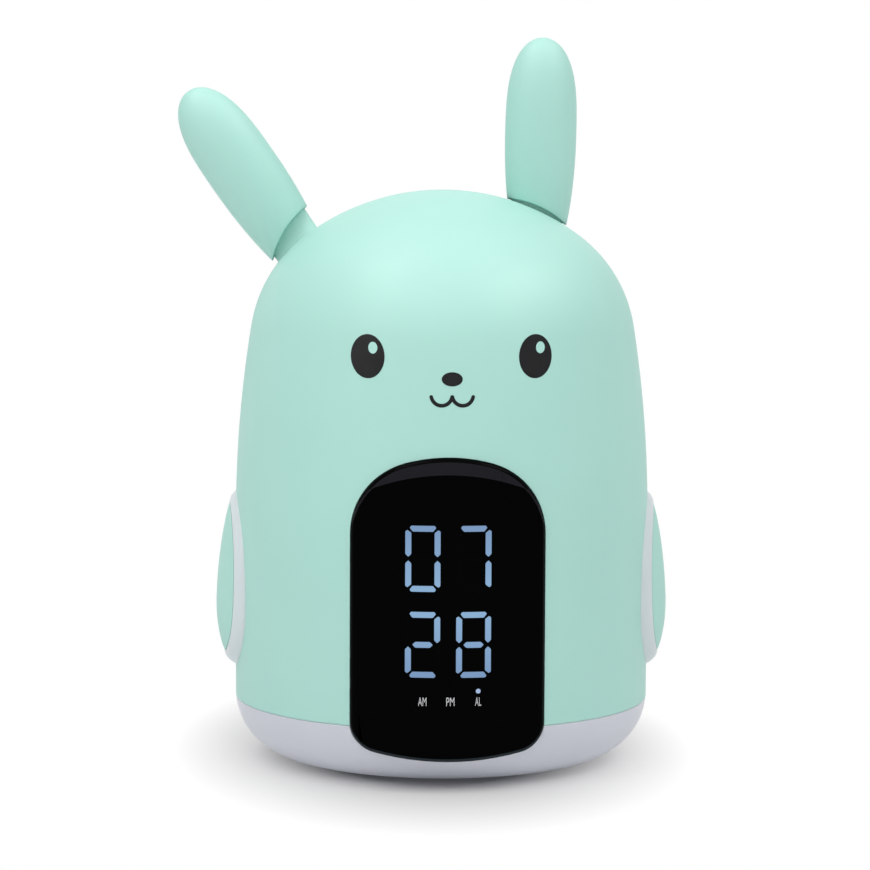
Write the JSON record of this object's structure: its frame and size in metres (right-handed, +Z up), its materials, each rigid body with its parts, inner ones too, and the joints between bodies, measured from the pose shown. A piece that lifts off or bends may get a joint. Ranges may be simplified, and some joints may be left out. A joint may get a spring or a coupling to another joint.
{
  "type": "kids alarm clock with night light",
  "caption": "Children's bedside alarm clock: domed mint body, two tilting ears, glowing arms and base, curved black digital display.",
  "frame": {"origin": "centre of the foot pad's lower face, on the body's axis, where the clock stands", "axes": "+Z up along the body's axis; -Y is the front with the display; +X is to the right seen from the front"},
  "size_m": [0.131, 0.1111, 0.1919],
  "materials": {
    "mint_shell": "satin moulded ABS with a very fine even grain",
    "base_white": "milky translucent plastic, satin",
    "arm_white": "milky translucent plastic, satin",
    "rubber_grey": "moulded rubber",
    "display_black": "polished smoked plastic",
    "segment_glow": "light guide glowing pale blue-white",
    "segment_dark": "unlit light guide behind a smoked face",
    "marking_white": "fine printed ink",
    "face_print": "printed black ink, slightly glossy",
    "frame_white": "plain moulded plastic",
    "holder_black": "moulded black plastic",
    "speaker_black": "paper cone and black basket",
    "button_white": "satin moulded plastic",
    "board_green": "solder-masked circuit board",
    "ribbon_grey": "flat ribbon cable",
    "led_yellow": "clear resin over a phosphor",
    "cell_steel": "brushed steel can",
    "contact_steel": "spring steel, nickel plated",
    "pin_steel": "ground steel",
    "screw_steel": "zinc-plated steel"
  },
  "bodies": {
    "housing": {"front_shell": "mint_shell", "rear_shell": "mint_shell", "base_diffuser": "base_white", "base_plate": "base_white", "foot_pad": "rubber_grey", "coin_cell": "cell_steel", "battery_holder": "holder_black", "battery_contacts": "contact_steel", "display_window": "display_black", "lit_segments": "segment_glow", "unlit_segments": "segment_dark", "display_light_box": "frame_white", "display_board": "board_green", "display_ribbon": "ribbon_grey", "inner_frame": "frame_white", "ear_pivot_pins": "pin_steel", "ear_detent_springs": "contact_steel", "ear_switches": "holder_black", "left_arm_diffuser": "arm_white", "right_arm_diffuser": "arm_white", "left_arm_cap": "mint_shell", "right_arm_cap": "mint_shell", "arm_light_boards": "board_green", "arm_leds": "led_yellow", "main_board": "board_green", "main_board_chips": "holder_black", "light_board": "board_green", "light_leds": "led_yellow", "speaker": "speaker_black", "power_socket": "pin_steel", "button_board": "board_green", "button_switches": "holder_black", "shell_screws": "screw_steel", "base_screws": "screw_steel"},
    "left_ear_unit": {"left_ear": "mint_shell", "left_ear_lever": "mint_shell"},
    "right_ear_unit": {"right_ear": "mint_shell", "right_ear_lever": "mint_shell"},
    "battery_door": {"battery_cap": "base_white"},
    "hour_button": {"button_hour": "button_white"},
    "minute_button": {"button_minute": "button_white"},
    "alarm_button": {"button_alarm": "button_white"},
    "light_button": {"button_light": "button_white"}
  },
  "joints": [
    {"name": "left_ear_tilt", "type": "hinge", "parent": "housing", "child": "left_ear_unit", "pos_m": [-0.0232, 0, 0.11709], "axis": [0, -1, 0], "range_deg": [-33.8, 0]},
    {"name": "right_ear_tilt", "type": "hinge", "parent": "housing", "child": "right_ear_unit", "pos_m": [0.0232, 0, 0.11709], "axis": [0, 1, 0], "range_deg": [0, 33.8]},
    {"name": "battery_cap_turn", "type": "hinge", "parent": "housing", "child": "battery_door", "pos_m": [0, -0.015, 0.002], "axis": [0, 0, 1], "range_deg": [0, 40]},
    {"name": "hour_press", "type": "slide", "parent": "housing", "child": "hour_button", "axis": [0, -1, 0], "range_m": [0, 0.0012], "stiffness_N_per_m": 400, "springref_m": -0.001},
    {"name": "minute_press", "type": "slide", "parent": "housing", "child": "minute_button", "axis": [0, -1, 0], "range_m": [0, 0.0012], "stiffness_N_per_m": 400, "springref_m": -0.001},
    {"name": "alarm_press", "type": "slide", "parent": "housing", "child": "alarm_button", "axis": [0, -1, 0], "range_m": [0, 0.0012], "stiffness_N_per_m": 400, "springref_m": -0.001},
    {"name": "light_press", "type": "slide", "parent": "housing", "child": "light_button", "axis": [0, -1, 0], "range_m": [0, 0.0012], "stiffness_N_per_m": 400, "springref_m": -0.001}
  ]
}
